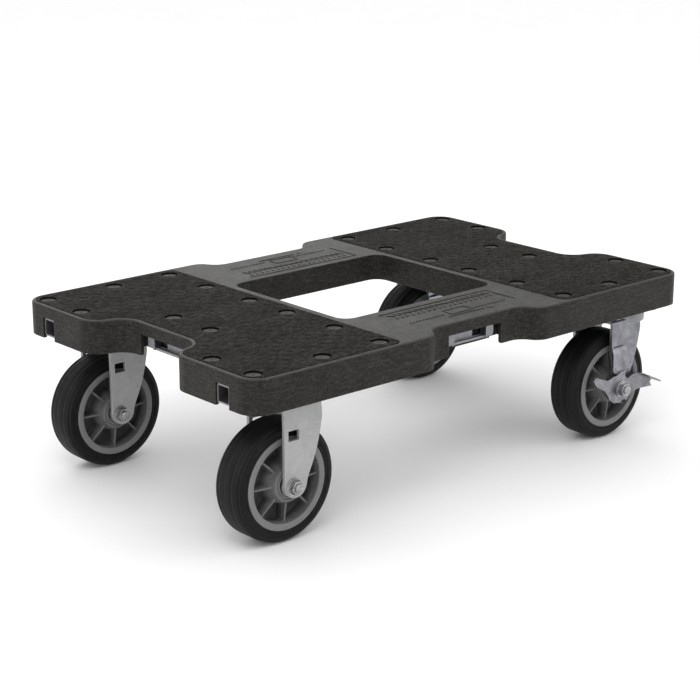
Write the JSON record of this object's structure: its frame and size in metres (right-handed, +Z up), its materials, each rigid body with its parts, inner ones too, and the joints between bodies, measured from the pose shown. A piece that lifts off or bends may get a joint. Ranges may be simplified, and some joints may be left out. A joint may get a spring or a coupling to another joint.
{
  "type": "platform dolly",
  "caption": "Low platform dolly: ribbed plastic deck with a central opening, riveted tread pads and steel strap anchors, fixed casters at one end and swivel casters with side brakes at the other.",
  "frame": {"origin": "on the floor, under the middle of the deck", "axes": "+Z up, X along the deck from the fixed casters to the swivel casters, Y across it"},
  "size_m": [0.8128, 0.516, 0.245],
  "materials": {
    "deck_plastic": "moulded polypropylene, fine grain",
    "pad_rubber": "textured non-slip sheet",
    "rivet_plastic": "plain moulded",
    "tyre_rubber": "moulded rubber",
    "wheel_core": "grey moulded nylon",
    "bearing_steel": "ground",
    "fork_zinc": "zinc plated pressed steel",
    "anchor_steel": "galvanised",
    "brake_zinc": "bright zinc",
    "fastener_zinc": "bright zinc",
    "insert_brass": "knurled"
  },
  "bodies": {
    "platform": {"caster_mounting_bolts": "fastener_zinc", "deck": "deck_plastic", "deck_inserts": "insert_brass", "front_left_fork": "fork_zinc", "front_left_handle_socket": "anchor_steel", "front_right_handle_socket": "anchor_steel", "front_right_kingpin": "fastener_zinc", "front_right_kingpin_nut": "fastener_zinc", "front_right_swivel_plate": "fork_zinc", "front_strap_anchor": "anchor_steel", "handle_socket_screws": "fastener_zinc", "left_axle_bolts": "fastener_zinc", "left_axle_nuts": "fastener_zinc", "left_axle_spacers": "bearing_steel", "left_hub_washers": "fastener_zinc", "left_pad_rivets": "rivet_plastic", "left_strap_anchor": "anchor_steel", "left_tread_pad": "pad_rubber", "rear_left_fork": "fork_zinc", "rear_left_handle_socket": "anchor_steel", "rear_right_handle_socket": "anchor_steel", "rear_right_kingpin": "fastener_zinc", "rear_right_kingpin_nut": "fastener_zinc", "rear_right_swivel_plate": "fork_zinc", "rear_strap_anchor": "anchor_steel", "right_pad_rivets": "rivet_plastic", "right_strap_anchor": "anchor_steel", "right_tread_pad": "pad_rubber", "strap_anchor_screws": "fastener_zinc"},
    "front_left_wheel": {"front_left_tyre": "tyre_rubber", "front_left_wheel_core": "wheel_core", "front_left_wheel_bearings": "bearing_steel"},
    "front_right_wheel": {"front_right_tyre": "tyre_rubber", "front_right_wheel_core": "wheel_core", "front_right_wheel_bearings": "bearing_steel"},
    "front_right_swivel_fork": {"front_right_yoke": "fork_zinc", "front_right_swivel_balls": "bearing_steel", "front_right_axle_bolt": "fastener_zinc", "front_right_axle_nut": "fastener_zinc", "front_right_axle_spacer": "bearing_steel", "front_right_hub_washers": "fastener_zinc"},
    "front_right_brake_lever": {"front_right_brake_lever": "brake_zinc"},
    "front_right_brake_leaf": {"front_right_brake_leaf": "brake_zinc"},
    "rear_left_wheel": {"rear_left_tyre": "tyre_rubber", "rear_left_wheel_core": "wheel_core", "rear_left_wheel_bearings": "bearing_steel"},
    "rear_right_wheel": {"rear_right_tyre": "tyre_rubber", "rear_right_wheel_core": "wheel_core", "rear_right_wheel_bearings": "bearing_steel"},
    "rear_right_swivel_fork": {"rear_right_yoke": "fork_zinc", "rear_right_swivel_balls": "bearing_steel", "rear_right_axle_bolt": "fastener_zinc", "rear_right_axle_nut": "fastener_zinc", "rear_right_axle_spacer": "bearing_steel", "rear_right_hub_washers": "fastener_zinc"},
    "rear_right_brake_lever": {"rear_right_brake_lever": "brake_zinc"},
    "rear_right_brake_leaf": {"rear_right_brake_leaf": "brake_zinc"}
  },
  "joints": [
    {"name": "front_left_wheel_spin", "type": "hinge", "parent": "platform", "child": "front_left_wheel", "pos_m": [-0.321, -0.191, 0.081], "axis": [0, 1, 0], "continuous": true},
    {"name": "front_right_swivel", "type": "hinge", "parent": "platform", "child": "front_right_swivel_fork", "pos_m": [0.333, -0.194, 0.191], "axis": [0, 0, 1], "continuous": true},
    {"name": "front_right_wheel_spin", "type": "hinge", "parent": "front_right_swivel_fork", "child": "front_right_wheel", "pos_m": [0.297, -0.194, 0.081], "axis": [0, 1, 0], "continuous": true},
    {"name": "front_right_brake_lever_tilt", "type": "hinge", "parent": "front_right_swivel_fork", "child": "front_right_brake_lever", "pos_m": [0.297, -0.24, 0.081], "axis": [0, 1, 0], "range_deg": [0, 25]},
    {"name": "front_right_brake_leaf_press", "type": "hinge", "parent": "front_right_swivel_fork", "child": "front_right_brake_leaf", "pos_m": [0.297, -0.2323, 0.143], "axis": [1, 0, 0], "range_deg": [0, 4]},
    {"name": "rear_left_wheel_spin", "type": "hinge", "parent": "platform", "child": "rear_left_wheel", "pos_m": [-0.321, 0.191, 0.081], "axis": [0, 1, 0], "continuous": true},
    {"name": "rear_right_swivel", "type": "hinge", "parent": "platform", "child": "rear_right_swivel_fork", "pos_m": [0.333, 0.194, 0.191], "axis": [0, 0, 1], "continuous": true},
    {"name": "rear_right_wheel_spin", "type": "hinge", "parent": "rear_right_swivel_fork", "child": "rear_right_wheel", "pos_m": [0.297, 0.194, 0.081], "axis": [0, 1, 0], "continuous": true},
    {"name": "rear_right_brake_lever_tilt", "type": "hinge", "parent": "rear_right_swivel_fork", "child": "rear_right_brake_lever", "pos_m": [0.297, 0.148, 0.081], "axis": [0, 1, 0], "range_deg": [0, 25]},
    {"name": "rear_right_brake_leaf_press", "type": "hinge", "parent": "rear_right_swivel_fork", "child": "rear_right_brake_leaf", "pos_m": [0.297, 0.1557, 0.143], "axis": [1, 0, 0], "range_deg": [0, 4]}
  ],
  "couplings": [
    {"joint": "front_right_brake_leaf_press", "follows": "front_right_brake_lever_tilt", "ratio": 0.16},
    {"joint": "rear_right_brake_leaf_press", "follows": "rear_right_brake_lever_tilt", "ratio": 0.16}
  ]
}
